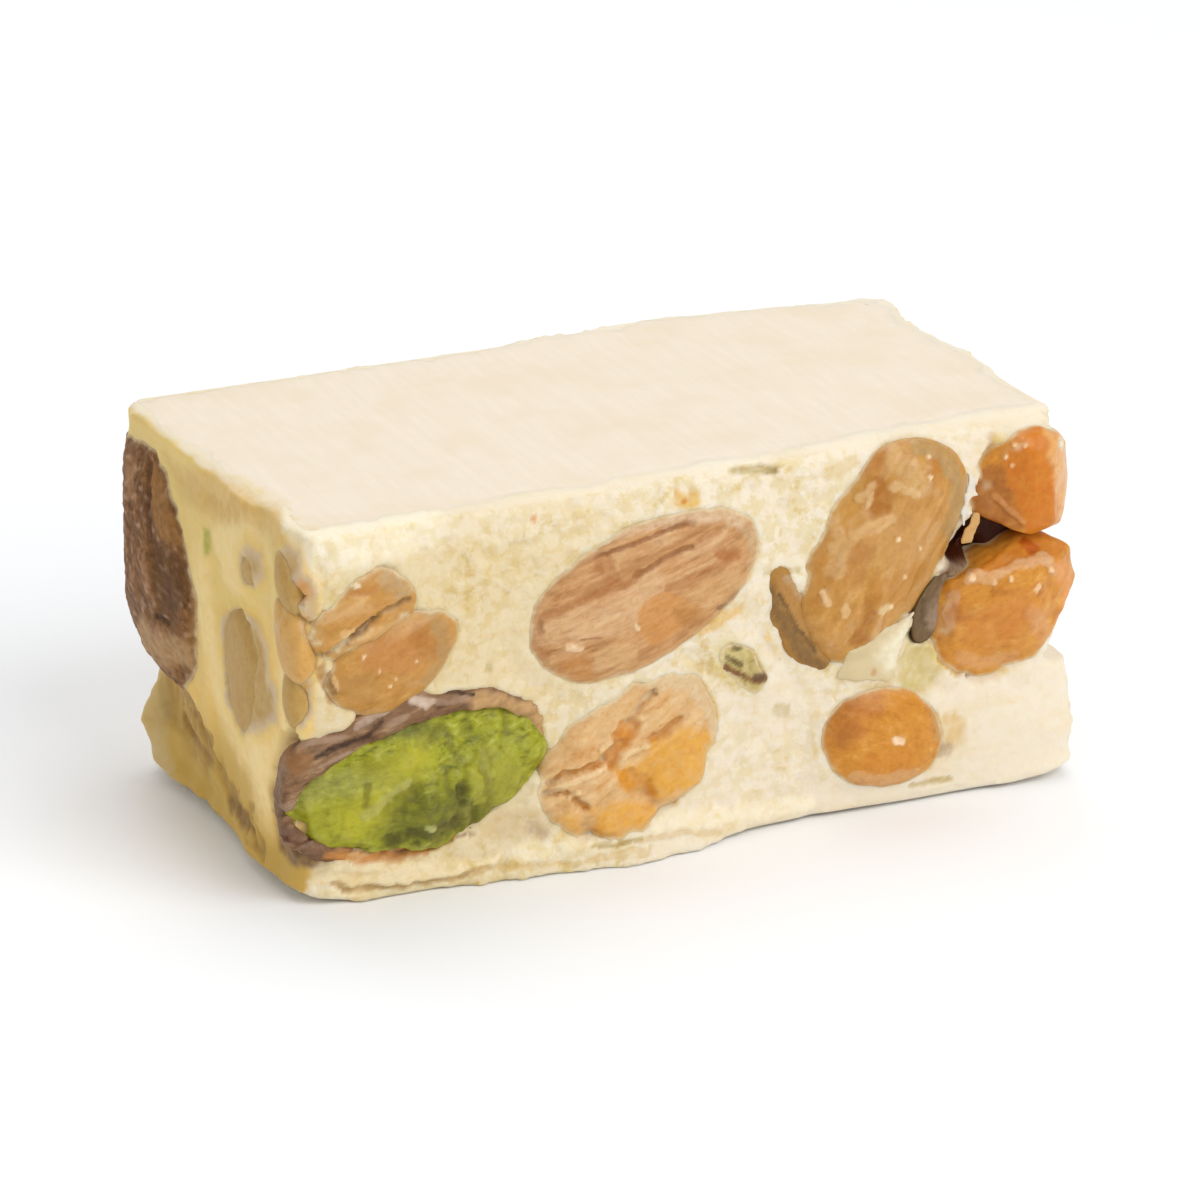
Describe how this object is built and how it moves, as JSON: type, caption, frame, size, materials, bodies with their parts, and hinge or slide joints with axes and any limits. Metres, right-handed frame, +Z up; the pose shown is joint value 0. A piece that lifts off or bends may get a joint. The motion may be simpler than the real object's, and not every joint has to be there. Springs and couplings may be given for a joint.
{
  "type": "nougat bar",
  "caption": "Cut bar of soft nougat between thin wafer sheets, with toasted almonds, pistachios and hazelnuts set in its sides.",
  "frame": {"origin": "middle of the bar's outline, on the surface it rests on", "axes": "+X along the bar, towards its right end; +Y from front to back; +Z up"},
  "size_m": [0.0684, 0.0374, 0.0301],
  "materials": {
    "nougat": "soft aerated nougat, cream, faintly waxy",
    "wafer": "thin edible wafer, matt off-white",
    "toasted_almond": "toasted blanched almond, tan, satin",
    "crushed_almond": "broken almond flesh, pale tan and orange, satin",
    "pale_nut": "nut seen through a film of nougat, olive tan, satin",
    "dark_skin": "wrinkled brown almond skin, matt",
    "nut_skin": "thin purple-brown nut skin, matt",
    "caramel_nut": "deep toasted nut, caramel orange, waxy gloss",
    "pistachio": "broken pistachio, yellow green, satin"
  },
  "bodies": {
    "root": {"nougat": "nougat", "top_wafer": "wafer", "bottom_wafer": "wafer", "almond_centre": "toasted_almond", "almond_tall": "toasted_almond", "almond_tall_skin": "nut_skin", "split_almond_upper": "toasted_almond", "split_almond_lower": "toasted_almond", "crushed_almond": "crushed_almond", "pistachio_kernel": "pistachio", "pistachio_skin": "nut_skin", "pistachio_chip": "pistachio", "caramel_nut_upper": "caramel_nut", "caramel_nut_lower": "caramel_nut", "caramel_nut_skin": "nut_skin", "hazelnut_front": "caramel_nut", "dark_almond": "dark_skin", "left_almond_slab": "pale_nut", "left_chip_round": "pale_nut", "left_chip_high": "pale_nut", "left_chunk": "toasted_almond", "left_chip_low": "pale_nut", "right_almond": "toasted_almond", "right_hazelnut": "caramel_nut", "right_pistachio": "pistachio", "back_almond_wide": "toasted_almond", "back_almond_dark": "dark_skin", "back_almond_half": "toasted_almond", "back_hazelnut": "caramel_nut", "back_pistachio": "pistachio", "back_caramel_nut": "caramel_nut", "back_chip": "pistachio"}
  },
  "joints": []
}
